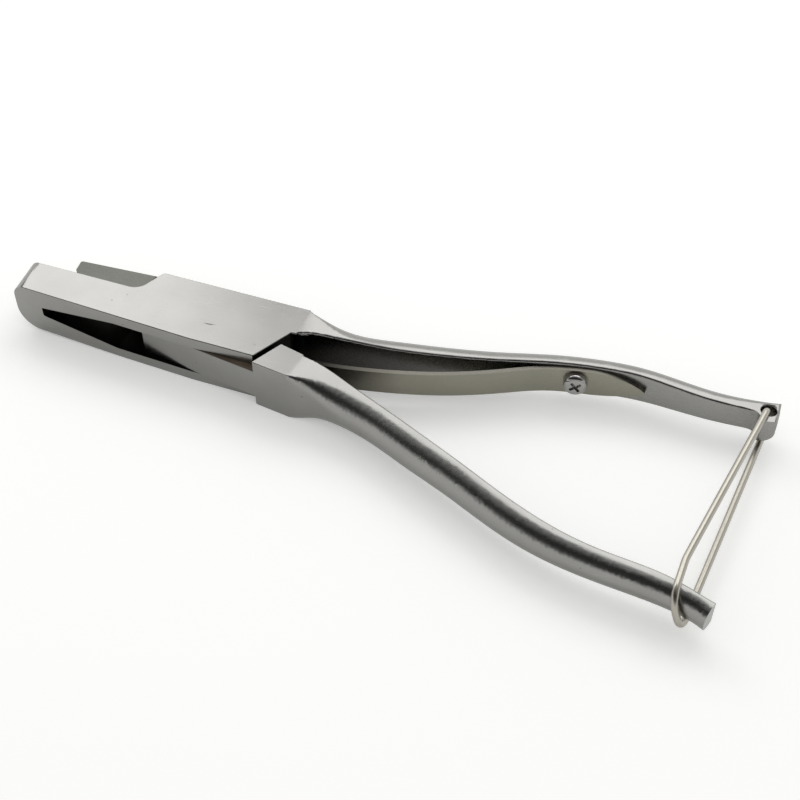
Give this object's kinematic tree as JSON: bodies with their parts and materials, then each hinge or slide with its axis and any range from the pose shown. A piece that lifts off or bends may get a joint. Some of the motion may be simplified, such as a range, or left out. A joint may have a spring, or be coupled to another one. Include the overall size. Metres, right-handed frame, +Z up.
{
  "type": "ear notcher",
  "caption": "Box-joint ear notching pliers with a V die jaw, V punch, curved handles, leaf spring and wire lock bail.",
  "frame": {"origin": "pivot axis where it meets the flat underside of the head, on which the pliers lie", "axes": "+Z up along the pivot axis, +X from the pivot towards the handles, nose towards -X, +Y towards the box lever's handle"},
  "size_m": [0.2558, 0.0917, 0.019],
  "materials": {
    "forged_steel": "satin nickel plate on forged steel",
    "pin_steel": "ground flush and plated with the head",
    "spring_steel": "satin",
    "plated_screw": "bright plate",
    "bail_wire": "bright drawn wire"
  },
  "bodies": {
    "box_half": {"box_lever": "forged_steel", "pivot_pin": "pin_steel", "leaf_spring": "spring_steel", "spring_screw": "plated_screw"},
    "punch_half": {"punch_lever": "forged_steel"},
    "bail": {"lock_bail": "bail_wire"}
  },
  "joints": [
    {"name": "handle_pivot", "type": "hinge", "parent": "box_half", "child": "punch_half", "pos_m": [0, 0, 0.0095], "axis": [0, 0, 1], "range_deg": [0, 7.5], "stiffness_Nm_per_rad": 5, "springref_deg": -5.73, "deforming": ["leaf_spring"]},
    {"name": "bail_swing", "type": "hinge", "parent": "box_half", "child": "bail", "pos_m": [0.1796, 0.0254, 0.0095], "axis": [0, 0, 1], "range_deg": [-8, 2]}
  ]
}
